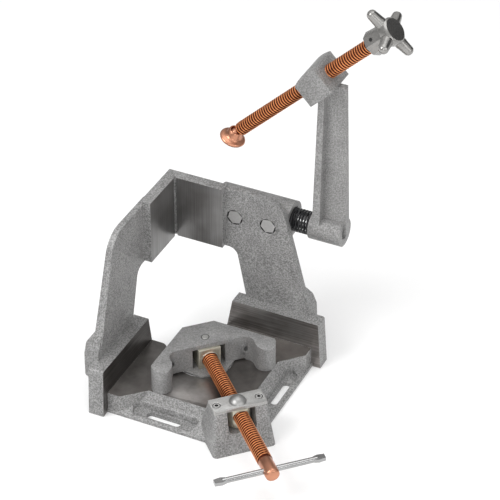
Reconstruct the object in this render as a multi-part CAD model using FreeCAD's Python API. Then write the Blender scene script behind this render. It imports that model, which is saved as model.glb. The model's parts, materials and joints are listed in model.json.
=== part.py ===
"""Three-axis welder's corner clamp.

Millimetres. The origin is at table level, under the line where the faces of the two fixed jaws
would meet. +Z is up, +X runs along the right fixed jaw and -Y along the left one, so the work
lies in the quarter where x is positive and y is negative. What stands on the clamp's bisector is
built with the main screw along -Y, and turned by 45 degrees at the end.
"""

import FreeCAD, Part
import math
import os

os.makedirs("parts", exist_ok=True)

V = FreeCAD.Vector
ROOT2 = math.sqrt(2)

# Fits and clearances
RUNNING = 0.05          # radial play of a shaft that turns in a bore
FACE_GAP = 0.1          # play between flat faces that slide on each other
SLIDE_GAP = 0.3         # play under the moving jaw and beside loose pieces

ALMOST = 0.01           # keeps a full round's two arcs apart
BALL_BANDS = 6          # cone bands that make a ball

# Bed of the casting
DECK_TOP = 26.0
DECK_PLATE = 12.0
DECK_REAR = 65.0        # r or l where the bed starts
DECK_FRONT = 148.5      # r or l where the ground bed ends
BAY_HALF = 34.0         # half width of the round-ended bay at the corner
BAY_END = 133.0         # distance of the bay's round end from the corner
BAY_LIP = 9.0
POCKET_WALL = 9.0       # walls round the hollows under the bed
POCKET_ROUND = 4.0

# Sloping aprons with the bench slots
APRON_EDGE = 174.0
APRON_BREAK = 5.0
APRON_BREAK_Z = 17.0
APRON_LIP_Z = 9.0
SLOT_PLATE = 7.0
SLOT_WIDTH = 9.0
SLOT_LENGTH = 42.0
SLOT_FROM_JAW = 66.0
SLOT_ROW = APRON_EDGE - 10.5
RECESS_LENGTH = 84.0
RECESS_WIDTH = 13.5
RECESS_DRAFT = 2.0      # lean of the recess walls
RECESS_ROUND = 4.0
APRON_LENGTH = 130.0
DECK_WING_NEAR = 15.0    # the ground bed reaches the apron's edge beside the jaw
DECK_WING_FAR = 40.0

# Fixed jaws
JAW_REAR = 71.5
JAW_FRONT = 179.5
JAW_HEIGHT = 35.0
JAW_THICK = 18.5
JAW_REAR_RAKE = 6.5     # the rear end leans back to the bed
JAW_FOOT_DRAFT = 4.5    # the front end flares to the table

# Head: two walls at right angles, ground inside
HEAD_BOTTOM = 132.5
HEAD_HEIGHT = 79.5
HEAD_LENGTH = 59.5
HEAD_WALL = 13.0
HEAD_RELIEF = 2.2       # radius of the groove in the corner

# Uprights between the jaws and the head
UPRIGHT_TOP = 210.0
UPRIGHT_FRONT_TOP = 128.5
UPRIGHT_FRONT_FOOT = 160.0
UPRIGHT_REAR_TOP = 71.5
UPRIGHT_REAR_FOOT = 83.0
UPRIGHT_THROAT = 128.5
UPRIGHT_TOP_ROUND = 28.0
UPRIGHT_THROAT_ROUND = 12.0
UPRIGHT_SET_TOP = 8.0   # set back of the inner side from the ground face, at the top
UPRIGHT_SET_FOOT = 14.0
UPRIGHT_THICK_TOP = 7.0
UPRIGHT_THICK_FOOT = 11.0

# Buttress outside the foot of each upright
BUTTRESS_OUT = 32.0
BUTTRESS_START = 132.0
BUTTRESS_END = 164.5
BUTTRESS_BOTTOM = 30.0
BUTTRESS_SHOULDER = 79.0
BUTTRESS_TOP = 94.0

# Front boss that carries the screw nut
NUT_Y = 214.7           # distance of the nut's axis from the corner
BOSS_TOP = 50.5
BOSS_HALF_TOP = 30.5
BOSS_HALF_FOOT = 36.5
BOSS_BACK = 12.0        # from the nut's axis to the boss's rear edge, at the top
BOSS_FRONT = 11.5
BOSS_FOOT_FRONT = 25.0
BOSS_FOOT_BACK = 30.0
BOSS_CORNER_FOOT = 5.0
BOSS_CORNER_TOP = 3.0
CHANNEL_SIDE = 2.8      # gap beside the nut
CHANNEL_ROUND = 6.0
CHANNEL_FLOOR = 2.0     # gap under the nut

# Main screw and what it turns in
SCREW_Z = 40.0
SCREW_DIA = 18.0
SCREW_END = 329.5       # distance of the handle end from the corner
SCREW_HEAD = 32.5
SCREW_HEAD_DIA = 16.5
SCREW_DOME = 2.5
NUT_DIA = 27.0
NUT_BELOW = 14.0
NUT_STUB_DIA = 12.0
NUT_STUB = 8.0
NUT_TOP_GAP = 0.3
PLATE_THICK = 3.5
PLATE_LENGTH = 61.0
PLATE_WIDTH = 23.0
PLATE_HOLE_DIA = 12.0
RIVET_HEAD_DIA = 19.0
RIVET_HEAD = 6.0
RIVET_SHANK = 0.9
PLATE_SCREW_SPACING = 49.0
PLATE_SCREW_DIA = 5.0
PLATE_SCREW_HEAD_DIA = 9.4
PLATE_SCREW_HEAD = 2.4
PLATE_SCREW_LENGTH = 14.0
DRIVE_WIDTH = 2.6
DRIVE_DEPTH = 1.2

# Tee bar
BAR_DIA = 6.5
BAR_LENGTH = 125.0
BAR_FROM_END = 11.0
BAR_FLAT_LENGTH = 9.0
BAR_FLAT_WIDTH = 8.6
BAR_FLAT_THICK = 4.4

# Moving jaw
OPENING = 41.5          # between a fixed jaw and the moving jaw, as stored
MOVING_TOP = 60.0
NOSE_HALF = 19.0        # half width of the blunt nose
FRONT_WALL_Y = 116.0
FINGER_X = 61.5
FINGER_Y = 133.5
FINGER_DIA = 23.5
FINGER_INNER_ROUND = 11.0
FINGER_SLOPE = 9.0      # length of the gentle slope on top of the finger
FINGER_DROP = 2.0
FINGER_NOSE_ROUND = 5.0
WING_LIFT = 1.7         # gap between the bed and the front wall beside the tongue
TONGUE_HALF = 30.0      # half width of the tongue under the screw, at the wall
TONGUE_HALF_TIP = 14.0
TONGUE_REACH = 17.0
TOP_PLATE = 5.5
BOTTOM_LUG = 2.5
SHELL_WALL = 8.0
CAVITY_HALF = 17.5
CAVITY_BACK = 90.0
WING_HOLE_X = 45.0
WING_HOLE_Z = 42.0
WING_HOLE_DIA = 7.5
WING_HOLE_DEPTH = 20.0
WING_BOSS_DIA = 15.0
WING_BOSS = 1.2
SWIVEL_Y = 103.0        # distance of the jaw's pivot pin from the corner
SWIVEL_PIN_DIA = 8.0
PIN_PROUD = 0.4
BLOCK_WIDTH = 26.0
BLOCK_REAR = 8.5        # from the pin's axis to the block's rear face
BLOCK_FRONT = 16.0
SCREW_FLANGE_DIA = 20.0
SCREW_FLANGE = 3.5
FLANGE_FROM_PIN = 6.0
RING_LENGTH = 5.5

# Third axis: bracket, pivot and swing arm
PIVOT_Z = 172.0
PIVOT_BACK = 36.0       # pivot axis behind the ground face of the head
BARREL_LEFT = 42.0
BARREL_LENGTH = 90.0
BARREL_DIA = 42.0
BRACKET_FACE = 19.0     # joint face of the bracket, behind the ground face of the head
PAD_START = 52.0
PAD_LENGTH = 80.0
PAD_HEIGHT = 34.0
PIVOT_DIA = 16.0
SPRING_POCKET_DIA = 29.2
SPRING_POCKET = 13.0
BOLT_MIDDLE = 91.0
BOLT_SPACING = 41.0
BOLT_DIA = 10.0
BOLT_FLATS = 16.0
BOLT_HEAD = 5.0
BOLT_SEAT = 15.0        # seat of the bolt heads, behind the ground face of the head
BOLT_LENGTH = 12.0
COUNTERBORE_DIA = 19.5

SPRING_DIA = 28.0
SPRING_WIRE = 2.6
SPRING_TURNS = 10
SPRING_RUNS = 14        # straight runs per turn
HUB_GAP = 23.5          # between the barrel and the hub, as stored
HUB_LENGTH = 39.0
HUB_DIA = 33.0
PIN_RECESS = 4.5
THREAD_END_DIA = 12.0
LOCK_NUT = 10.0
LOCK_NUT_FLATS = 19.0
END_WASHER = 2.5
END_WASHER_DIA = 28.0
ROLL_PIN_DIA = 4.0
ROLL_PIN_FROM_LEFT = 14.0

ARM_FROM_HUB = 1.5      # from the hub's left end to the middle of the head block
ARM_REACH = 189.7       # from the pivot up to it
SCREW_TILT = 43.9       # degrees between the arm screw and the pivot
FLANGE_THICK_FOOT = 9.0
FLANGE_THICK_TOP = 7.0
FLANGE_WIDTH_FOOT = 29.0
FLANGE_WIDTH_TOP = 26.0
FLANGE_FROM_HUB = 4.5
FLANGE_LEAN = 4.5       # the flange's face moves right towards the top
WEB_THICK = 8.0
WEB_FROM_HUB_FOOT = 42.5
WEB_FROM_HUB_TOP = 36.0
WEB_CREST = 9.0         # the web runs on past the head block's knob side
WEB_CREST_SIDE = 14.0   # but stays this far below the screw's axis
HEAD_BLOCK_PAD_SIDE = 13.0
HEAD_BLOCK_KNOB_SIDE = 21.0
HEAD_BLOCK_BELOW = 17.3
HEAD_BLOCK_ABOVE = 14.8
HEAD_BLOCK_NOSE = 10.5  # height above the screw at the pad side
HEAD_BLOCK_CROWN = 16.0
HEAD_BLOCK_DEPTH = 44.0

# Arm screw, from the middle of the head block along the screw
ARM_SCREW_DIA = 16.0
SCREW_TIP = 126.0
SCREW_KNOB_START = 84.5
NECK_DIA = 6.0
BALL_DIA = 11.0
BALL_FROM_TIP = 11.0
PAD_DIA = 30.0
PAD_RIM = 5.5
PAD_FACE_FROM_BALL = 11.0
PAD_NECK_DIA = 15.5
PAD_NECK_FROM_BALL = 4.5
PAD_MOUTH_FROM_BALL = 2.0
PAD_MOUTH_DIA = 10.4
PAD_MOUTH_RIM_DIA = 12.6
PAD_DROOP = 24.0        # degrees that the loose pad hangs down from the screw's line
PAD_CROWN = 1.0
PAD_EDGE = 5.0
PAD_BEVEL = 1.5
SOCKET_GAP = 0.3
SNAP_RING = 1.0
SNAP_RING_DIA = 10.0
SNAP_RING_FROM_TIP = 0.5
KNOB_LENGTH = 36.5
KNOB_HUB_FLATS = 24.0
KNOB_HEAD_DIA = 30.0
KNOB_HEAD = 13.0
KNOB_EDGE = 2.0
KNOB_FLARE = 2.5
KNOB_STUB_DIA = 11.0
KNOB_STUB = 22.0
PRONG_ROOT_DIA = 14.0
PRONG_DIA = 11.5
PRONG_FLARE = 3.0
PRONG_TIP_DIA = 10.0
PRONG_REACH = 33.0
PRONG_FROM_FACE = 8.0
PRONG_TURN = -12.0
KNOB_PIN_DIA = 4.0
KNOB_PIN_FROM_START = 7.0

# Values that follow
JAW_TOP = DECK_TOP + JAW_HEIGHT
HEAD_TOP = HEAD_BOTTOM + HEAD_HEIGHT
NUT_BOTTOM = SCREW_Z - NUT_BELOW
NUT_TOP = BOSS_TOP - NUT_TOP_GAP
PLATE_TOP = BOSS_TOP + PLATE_THICK
MOVING_BOTTOM = DECK_TOP + SLIDE_GAP
NOSE_Y = OPENING * ROOT2 + NOSE_HALF
WING_END = FINGER_X + FINGER_DIA / 2
BARREL_RIGHT = BARREL_LEFT + BARREL_LENGTH
HUB_LEFT = BARREL_RIGHT + HUB_GAP
HUB_RIGHT = HUB_LEFT + HUB_LENGTH
ARM_OFFSET = HUB_LEFT + ARM_FROM_HUB
FLANGE_FACE = HUB_LEFT + FLANGE_FROM_HUB
WEB_EDGE_FOOT = HUB_LEFT + WEB_FROM_HUB_FOOT
WEB_EDGE_TOP = HUB_LEFT + WEB_FROM_HUB_TOP
TILT = math.radians(SCREW_TILT)
SCREW_CROSS = V(ARM_OFFSET, PIVOT_BACK, PIVOT_Z + ARM_REACH)
E_LONG = V(math.cos(TILT), 0, math.sin(TILT))       # along the arm screw, towards the knob
E_SIDE = V(-math.sin(TILT), 0, math.cos(TILT))      # across it, away from the pivot
PAD_TILT = math.radians(SCREW_TILT + PAD_DROOP)
E_PAD = V(math.cos(PAD_TILT), 0, math.sin(PAD_TILT))     # along the pad's axis, towards its neck


def rounded_wire(points, place):
    """Closed wire through (a, b) or (a, b, radius) points; place turns (a, b) into a vector."""
    corners = []
    count = len(points)
    for i, point in enumerate(points):
        here = V(point[0], point[1], 0)
        radius = point[2] if len(point) > 2 else 0.0
        if radius == 0.0:
            corners.append((here, here, here))
            continue
        back = V(points[i - 1][0], points[i - 1][1], 0) - here
        ahead = V(points[(i + 1) % count][0], points[(i + 1) % count][1], 0) - here
        back.normalize()
        ahead.normalize()
        half = back.getAngle(ahead) / 2
        run = radius / math.tan(half)
        middle = back + ahead
        middle.normalize()
        centre = here + middle * (radius / math.sin(half))
        corners.append((here + back * run, centre - middle * radius, here + ahead * run))
    edges = []
    for i, (start, mid, end) in enumerate(corners):
        if start != end:
            arc = Part.Arc(place(start.x, start.y), place(mid.x, mid.y), place(end.x, end.y))
            edges.append(arc.toShape())
        following = corners[(i + 1) % count][0]
        if (following - end).Length > 1e-6:
            edges.append(Part.makeLine(place(end.x, end.y), place(following.x, following.y)))
    return Part.Wire(edges)


def prism(points, place, along):
    """Solid of a rounded outline pushed along a vector."""
    return Part.Face(rounded_wire(points, place)).extrude(along)


def flat_prism(points, bottom, top):
    """Outline in X and Y, from one height to another."""
    return prism(points, lambda a, b: V(a, b, bottom), V(0, 0, top - bottom))


def side_prism(points, start, end):
    """Outline in X and Z, from one y to another."""
    return prism(points, lambda a, b: V(a, start, b), V(0, end - start, 0))


def cross_prism(points, start, end):
    """Outline in Y and Z, from one x to another."""
    return prism(points, lambda a, b: V(start, a, b), V(end - start, 0, 0))


def rod(base, along, length, dia, end_dia=None):
    """Cylinder, or cone when an end diameter is given."""
    if end_dia is None:
        return Part.makeCylinder(dia / 2, length, base, along)
    return Part.makeCone(dia / 2, end_dia / 2, length, base, along)


def turned(profile, base, along):
    """Solid of revolution from (distance, radius) points, starting at base and running along."""
    wire = Part.makePolygon([V(radius, 0, distance) for distance, radius in profile + profile[:1]])
    solid = Part.Face(wire).revolve(V(0, 0, 0), V(0, 0, 1), 360)
    solid.Placement = FreeCAD.Placement(base, FreeCAD.Rotation(V(0, 0, 1), along))
    return solid


def hexagon_rod(base, along, length, flats, turn=0.0):
    """Hexagonal prism of a given size across flats."""
    radius = flats / math.sqrt(3)
    corners = [V(radius * math.cos(math.radians(60 * i + turn)),
                 radius * math.sin(math.radians(60 * i + turn)), 0) for i in range(7)]
    solid = Part.Face(Part.makePolygon(corners)).extrude(V(0, 0, length))
    solid.Placement = FreeCAD.Placement(base, FreeCAD.Rotation(V(0, 0, 1), along))
    return solid


def hexagon_wire(middle, normal, radius):
    """Hexagon round a point, square to a direction."""
    turn = FreeCAD.Rotation(V(0, 0, 1), normal)
    corners = []
    for i in range(7):
        angle = math.radians(60 * i)
        corners.append(middle + turn.multVec(V(radius * math.cos(angle), radius * math.sin(angle), 0)))
    return Part.makePolygon(corners)


def ball_profile(radius, low, high):
    """(distance, radius) points on a ball round distance 0, between two distances."""
    points = []
    first = math.acos(max(-1.0, min(1.0, low / radius)))
    last = math.acos(max(-1.0, min(1.0, high / radius)))
    for i in range(BALL_BANDS + 1):
        angle = first + (last - first) * i / BALL_BANDS
        points.append((radius * math.cos(angle), radius * math.sin(angle)))
    return points


def on_bisector(shape):
    """Turn a shape built with the main screw along -Y onto the clamp's bisector."""
    placed = shape.copy()
    placed.rotate(V(0, 0, 0), V(0, 0, 1), 45)
    return placed


def mirrored(shape):
    """Right side to left side."""
    return shape.mirror(V(0, 0, 0), V(1, 1, 0))


def fused(shapes):
    """One clean solid."""
    whole = shapes[0].multiFuse(shapes[1:])
    return whole.removeSplitter()


def along_screw(distance, side=0.0, depth=0.0):
    """Side-frame point at a distance along the arm screw from the middle of the head block."""
    return SCREW_CROSS + E_LONG * distance + E_SIDE * side + V(0, depth, 0)


def bed():
    """Bed with its round-ended bay, hollow below."""
    inner = JAW_THICK / 2
    bay_corner = DECK_REAR - BAY_HALF * ROOT2
    bay_near = (BAY_END - BAY_HALF) / ROOT2
    bay_far = (BAY_END + BAY_HALF) / ROOT2
    plate = flat_prism([
        (DECK_REAR, inner),
        (DECK_FRONT, inner),
        (DECK_FRONT, -DECK_FRONT),
        (-inner, -DECK_FRONT),
        (-inner, -DECK_REAR),
        (bay_corner, -DECK_REAR, BAY_LIP),
        (bay_near, -bay_far, BAY_HALF - ALMOST),
        (bay_far, -bay_near, BAY_HALF - ALMOST),
        (DECK_REAR, -bay_corner, BAY_LIP),
    ], 0, DECK_TOP)
    far = DECK_FRONT - POCKET_WALL
    near = bay_near + BAY_HALF + POCKET_WALL
    rear = (BAY_HALF + POCKET_WALL) * ROOT2 + POCKET_WALL
    hollow = flat_prism([
        (POCKET_WALL, -rear, POCKET_ROUND),
        (POCKET_WALL, -far, POCKET_ROUND),
        (near - POCKET_WALL, -far, POCKET_ROUND),
        (near - POCKET_WALL, -near, POCKET_ROUND),
        (near + POCKET_WALL - rear, -near, POCKET_ROUND),
    ], -1, DECK_TOP - DECK_PLATE)
    return plate.cut(hollow).cut(mirrored(hollow))


def apron():
    """Sloping apron in front of the right half of the bed, with its recess and bench slot."""
    inner = DECK_FRONT - POCKET_WALL
    section = [
        (inner, 0),
        (inner, DECK_TOP),
        (DECK_FRONT, DECK_TOP),
        (DECK_FRONT + APRON_BREAK, APRON_BREAK_Z),
        (APRON_EDGE - 1.5, APRON_LIP_Z),
        (APRON_EDGE, APRON_LIP_Z - 1.5),
        (APRON_EDGE, 0),
    ]
    body = prism(section, lambda a, b: V(a, JAW_THICK / 2, b), V(0, -JAW_THICK / 2 - APRON_LENGTH, 0))
    middle = -SLOT_FROM_JAW

    def recess_wire(out, z):
        half = RECESS_LENGTH / 2 + out
        taper = RECESS_WIDTH / 2
        near = SLOT_ROW - RECESS_WIDTH / 2 - out
        far = SLOT_ROW + RECESS_WIDTH / 2 + out
        return rounded_wire([
            (near, middle - half, RECESS_ROUND),
            (far, middle - half + taper, RECESS_ROUND),
            (far, middle + half - taper, RECESS_ROUND),
            (near, middle + half, RECESS_ROUND),
        ], lambda a, b: V(a, b, z))
    recess = Part.makeLoft([recess_wire(0, SLOT_PLATE), recess_wire(RECESS_DRAFT, DECK_TOP)], True, True)
    slot_round = SLOT_WIDTH / 2 - ALMOST
    slot = [
        (SLOT_ROW - SLOT_WIDTH / 2, middle - SLOT_LENGTH / 2, slot_round),
        (SLOT_ROW + SLOT_WIDTH / 2, middle - SLOT_LENGTH / 2, slot_round),
        (SLOT_ROW + SLOT_WIDTH / 2, middle + SLOT_LENGTH / 2, slot_round),
        (SLOT_ROW - SLOT_WIDTH / 2, middle + SLOT_LENGTH / 2, slot_round),
    ]
    body = body.cut(recess)
    corner = flat_prism([
        (inner, JAW_THICK / 2),
        (inner, -DECK_WING_FAR),
        (DECK_FRONT, -DECK_WING_FAR),
        (APRON_EDGE - 2, -DECK_WING_NEAR),
        (APRON_EDGE - 2, JAW_THICK / 2),
    ], 0, DECK_TOP)
    return body.cut(flat_prism(slot, -1, DECK_TOP)).fuse(corner)


def fixed_jaw():
    """Right fixed jaw: a bar with raked ends."""
    side = [
        (JAW_REAR - JAW_REAR_RAKE, 0),
        (JAW_FRONT + JAW_FOOT_DRAFT, 0),
        (JAW_FRONT + 0.5, JAW_TOP - 1.5),
        (JAW_FRONT - 1, JAW_TOP),
        (JAW_REAR, JAW_TOP),
        (JAW_REAR - JAW_REAR_RAKE, DECK_TOP),
    ]
    return side_prism(side, 0, JAW_THICK)


def upright():
    """Right upright: a leaning, tapered plate, with its buttress at the foot."""
    outline = [
        (HEAD_LENGTH - HEAD_WALL, UPRIGHT_TOP),
        (UPRIGHT_FRONT_TOP, UPRIGHT_TOP, UPRIGHT_TOP_ROUND),
        (UPRIGHT_FRONT_FOOT, JAW_TOP),
        (UPRIGHT_FRONT_FOOT + 2, DECK_TOP),
        (UPRIGHT_REAR_FOOT, DECK_TOP),
        (UPRIGHT_REAR_FOOT, JAW_TOP),
        (UPRIGHT_REAR_TOP, UPRIGHT_THROAT, UPRIGHT_THROAT_ROUND),
        (HEAD_LENGTH - HEAD_WALL, UPRIGHT_THROAT),
    ]
    plate = side_prism(outline, 0, BUTTRESS_OUT + 5)
    lean = [
        (UPRIGHT_SET_TOP, HEAD_TOP),
        (UPRIGHT_SET_TOP + UPRIGHT_THICK_TOP, HEAD_TOP),
        (UPRIGHT_SET_FOOT + UPRIGHT_THICK_FOOT, JAW_TOP),
        (JAW_THICK, DECK_TOP),
        (UPRIGHT_SET_FOOT, DECK_TOP),
        (UPRIGHT_SET_FOOT, JAW_TOP),
    ]
    slab = cross_prism(lean, 0, JAW_FRONT)
    buttress = cross_prism([
        (JAW_THICK - 4, BUTTRESS_BOTTOM),
        (JAW_THICK, BUTTRESS_BOTTOM),
        (BUTTRESS_OUT, BUTTRESS_BOTTOM + 6, 3.0),
        (BUTTRESS_OUT, BUTTRESS_SHOULDER, 6.0),
        (UPRIGHT_SET_FOOT + UPRIGHT_THICK_FOOT - 3, BUTTRESS_TOP),
        (JAW_THICK - 4, BUTTRESS_TOP),
    ], BUTTRESS_START, BUTTRESS_END)
    rake = [
        (BUTTRESS_START - 1, BUTTRESS_BOTTOM - 1),
        (BUTTRESS_END + 1, BUTTRESS_BOTTOM - 1),
        (UPRIGHT_FRONT_FOOT + 4, JAW_TOP + 6),
        (UPRIGHT_FRONT_FOOT - 8, BUTTRESS_TOP + 1, 8.0),
        (BUTTRESS_START - 1, BUTTRESS_TOP + 1),
    ]
    buttress = buttress.common(side_prism(rake, 0, BUTTRESS_OUT + 5))
    return plate.common(slab).fuse(buttress)


def head_wall():
    """Right wall of the head, with half of the groove in its corner."""
    wall = Part.makeBox(HEAD_LENGTH + HEAD_WALL, HEAD_WALL, HEAD_HEIGHT, V(-HEAD_WALL, 0, HEAD_BOTTOM))
    groove = rod(V(0, 0, HEAD_BOTTOM), V(0, 0, 1), HEAD_HEIGHT, HEAD_RELIEF * 2)
    return wall.cut(groove)


def boss():
    """Front boss: tapered block, open from front to back for the nut and the screw."""
    def ring(half, back, front, corner, z):
        return rounded_wire([(-half, -NUT_Y - front, corner), (half, -NUT_Y - front, corner),
                             (half, -NUT_Y + back), (-half, -NUT_Y + back)], lambda a, b: V(a, b, z))
    block = Part.makeLoft([ring(BOSS_HALF_FOOT, BOSS_FOOT_BACK, BOSS_FOOT_FRONT, BOSS_CORNER_FOOT, 0),
                           ring(BOSS_HALF_TOP, BOSS_BACK, BOSS_FRONT, BOSS_CORNER_TOP, BOSS_TOP)], True, True)
    return on_bisector(block)


def boss_channel():
    """Space for the nut and the screw through the boss."""
    half = NUT_DIA / 2 + CHANNEL_SIDE
    floor = NUT_BOTTOM - CHANNEL_FLOOR
    section = [
        (-half, BOSS_TOP + 1),
        (-half, floor, CHANNEL_ROUND),
        (half, floor, CHANNEL_ROUND),
        (half, BOSS_TOP + 1),
    ]
    start = -NUT_Y + BOSS_FOOT_BACK
    channel = prism(section, lambda a, b: V(a, start, b), V(0, -BOSS_FOOT_BACK - BOSS_FOOT_FRONT - 1, 0))
    return on_bisector(channel)


def bolt_points():
    """X of the two bracket bolts."""
    return [BOLT_MIDDLE - BOLT_SPACING / 2, BOLT_MIDDLE + BOLT_SPACING / 2]


def main_casting():
    """Bed, jaws, uprights and head in one iron casting."""
    half = [apron(), fixed_jaw(), upright(), head_wall()]
    both = half + [mirrored(piece) for piece in half]
    seat = Part.makeBox(PAD_LENGTH, BRACKET_FACE - UPRIGHT_SET_TOP - 3, PAD_HEIGHT,
                        V(PAD_START, UPRIGHT_SET_TOP + 3, PIVOT_Z - PAD_HEIGHT / 2))
    body = fused([bed(), boss(), seat] + both)
    body = body.cut(boss_channel())
    stub_hole = rod(V(0, -NUT_Y, NUT_BOTTOM - CHANNEL_FLOOR - NUT_STUB - 1), V(0, 0, 1),
                    NUT_STUB + 2, NUT_STUB_DIA + 2 * RUNNING)
    body = body.cut(on_bisector(stub_hole))
    for side in (-1, 1):
        x = side * PLATE_SCREW_SPACING / 2
        hole = rod(V(x, -NUT_Y, PLATE_TOP - PLATE_SCREW_LENGTH), V(0, 0, 1), PLATE_SCREW_LENGTH, PLATE_SCREW_DIA)
        body = body.cut(on_bisector(hole))
    for x in bolt_points():
        seat_bore = rod(V(x, 0, PIVOT_Z), V(0, 1, 0), BOLT_SEAT, COUNTERBORE_DIA)
        clear_hole = rod(V(x, 0, PIVOT_Z), V(0, 1, 0), BRACKET_FACE + 1, BOLT_DIA + 4 * RUNNING)
        body = body.cut(seat_bore).cut(clear_hole)
    return body


def nut_cover_plate():
    """Steel strip over the nut."""
    plate = Part.makeBox(PLATE_LENGTH, PLATE_WIDTH, PLATE_THICK,
                         V(-PLATE_LENGTH / 2, -NUT_Y - PLATE_WIDTH / 2, BOSS_TOP))
    plate = plate.cut(rod(V(0, -NUT_Y, BOSS_TOP), V(0, 0, 1), PLATE_THICK, PLATE_HOLE_DIA))
    for side in (-1, 1):
        x = side * PLATE_SCREW_SPACING / 2
        shank = rod(V(x, -NUT_Y, BOSS_TOP), V(0, 0, 1), PLATE_THICK, PLATE_SCREW_DIA)
        sink = rod(V(x, -NUT_Y, PLATE_TOP - PLATE_SCREW_HEAD), V(0, 0, 1), PLATE_SCREW_HEAD,
                   PLATE_SCREW_DIA, PLATE_SCREW_HEAD_DIA)
        plate = plate.cut(shank).cut(sink)
    return on_bisector(plate)


def plate_screws():
    """Two countersunk slotted screws."""
    solids = []
    for side in (-1, 1):
        x = side * PLATE_SCREW_SPACING / 2
        shank = rod(V(x, -NUT_Y, PLATE_TOP - PLATE_SCREW_LENGTH), V(0, 0, 1),
                    PLATE_SCREW_LENGTH - PLATE_SCREW_HEAD, PLATE_SCREW_DIA)
        head = rod(V(x, -NUT_Y, PLATE_TOP - PLATE_SCREW_HEAD), V(0, 0, 1), PLATE_SCREW_HEAD,
                   PLATE_SCREW_DIA, PLATE_SCREW_HEAD_DIA)
        drive = hexagon_rod(V(x, -NUT_Y, PLATE_TOP - DRIVE_DEPTH), V(0, 0, 1), DRIVE_DEPTH, DRIVE_WIDTH)
        solids.append(on_bisector(shank.fuse(head).cut(drive).removeSplitter()))
    return Part.Compound(solids)


def swivel_nut():
    """Round nut that stands in the channel and swivels on its stub and rivet."""
    body = rod(V(0, -NUT_Y, NUT_BOTTOM), V(0, 0, 1), NUT_TOP - NUT_BOTTOM, NUT_DIA)
    stub_bottom = NUT_BOTTOM - CHANNEL_FLOOR - NUT_STUB
    stub = rod(V(0, -NUT_Y, stub_bottom), V(0, 0, 1), NUT_BOTTOM - stub_bottom, NUT_STUB_DIA)
    bore = rod(V(0, -NUT_Y - NUT_DIA, SCREW_Z), V(0, 1, 0), 2 * NUT_DIA, SCREW_DIA + 2 * RUNNING)
    rivet_hole = rod(V(0, -NUT_Y, NUT_TOP - RIVET_SHANK), V(0, 0, 1), RIVET_SHANK, PLATE_HOLE_DIA - 2 * SLIDE_GAP)
    return on_bisector(body.fuse(stub).cut(bore).cut(rivet_hole).removeSplitter())


def nut_rivet():
    """Domed rivet that holds the nut under its plate."""
    half = RIVET_HEAD_DIA / 2
    ball = (half * half + RIVET_HEAD * RIVET_HEAD) / (2 * RIVET_HEAD)
    head_bottom = PLATE_TOP + FACE_GAP
    shank_bottom = NUT_TOP - RIVET_SHANK
    shank_radius = PLATE_HOLE_DIA / 2 - SLIDE_GAP
    rise = head_bottom - shank_bottom
    dome = [(rise + RIVET_HEAD - ball + along, radius) for along, radius in ball_profile(ball, ball - RIVET_HEAD, ball)]
    profile = [(0, 0), (0, shank_radius), (rise, shank_radius)] + dome[:-1] + [(rise + RIVET_HEAD, 0)]
    return on_bisector(turned(profile, V(0, -NUT_Y, shank_bottom), V(0, 0, 1)))


def flange_rear():
    """Distance of the main screw's inner end from the corner."""
    return SWIVEL_Y + FLANGE_FROM_PIN


def main_screw():
    """Main screw: flange at the jaw, threaded length, plain head with a cross hole."""
    rear = flange_rear()
    head_start = SCREW_END - SCREW_HEAD
    profile = [
        (rear, 0),
        (rear, SCREW_FLANGE_DIA / 2),
        (rear + SCREW_FLANGE, SCREW_FLANGE_DIA / 2),
        (rear + SCREW_FLANGE, SCREW_DIA / 2),
        (head_start - 1.5, SCREW_DIA / 2),
        (head_start, SCREW_HEAD_DIA / 2),
        (SCREW_END - SCREW_DOME, SCREW_HEAD_DIA / 2),
        (SCREW_END, SCREW_HEAD_DIA / 2 - SCREW_DOME),
        (SCREW_END, 0),
    ]
    body = turned(profile, V(0, 0, SCREW_Z), V(0, -1, 0))
    hole = rod(V(-SCREW_DIA, -SCREW_END + BAR_FROM_END, SCREW_Z), V(1, 0, 0), 2 * SCREW_DIA, BAR_DIA + 4 * RUNNING)
    return on_bisector(body.cut(hole))


def tee_bar():
    """Sliding bar with flattened ends that keep it in the screw."""
    y = -SCREW_END + BAR_FROM_END
    plain = BAR_LENGTH - 2 * BAR_FLAT_LENGTH
    solids = [rod(V(-plain / 2, y, SCREW_Z), V(1, 0, 0), plain, BAR_DIA)]
    for side in (-1, 1):
        outline = [
            (side * (plain / 2 - 4), y - BAR_DIA / 2 + 0.4),
            (side * (plain / 2 + 1), y - BAR_FLAT_WIDTH / 2),
            (side * BAR_LENGTH / 2, y - BAR_FLAT_WIDTH / 2 + 1),
            (side * BAR_LENGTH / 2, y + BAR_FLAT_WIDTH / 2 - 1),
            (side * (plain / 2 + 1), y + BAR_FLAT_WIDTH / 2),
            (side * (plain / 2 - 4), y + BAR_DIA / 2 - 0.4),
        ]
        solids.append(flat_prism(outline, SCREW_Z - BAR_FLAT_THICK / 2, SCREW_Z + BAR_FLAT_THICK / 2))
    return on_bisector(fused(solids))


def jaw_swivel_block():
    """Block on the jaw's pivot pin that holds the end of the main screw."""
    bottom = MOVING_BOTTOM + BOTTOM_LUG + FACE_GAP
    top = MOVING_TOP - TOP_PLATE - FACE_GAP
    front = SWIVEL_Y + BLOCK_FRONT
    block = Part.makeBox(BLOCK_WIDTH, BLOCK_REAR + BLOCK_FRONT, top - bottom,
                         V(-BLOCK_WIDTH / 2, -front, bottom))
    pin_hole = rod(V(0, -SWIVEL_Y, bottom), V(0, 0, 1), top - bottom, SWIVEL_PIN_DIA + 2 * RUNNING)
    socket_end = flange_rear() - FACE_GAP
    socket = rod(V(0, -front, SCREW_Z), V(0, 1, 0), front - socket_end, SCREW_FLANGE_DIA + 4 * RUNNING)
    return on_bisector(block.cut(pin_hole).cut(socket))


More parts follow.
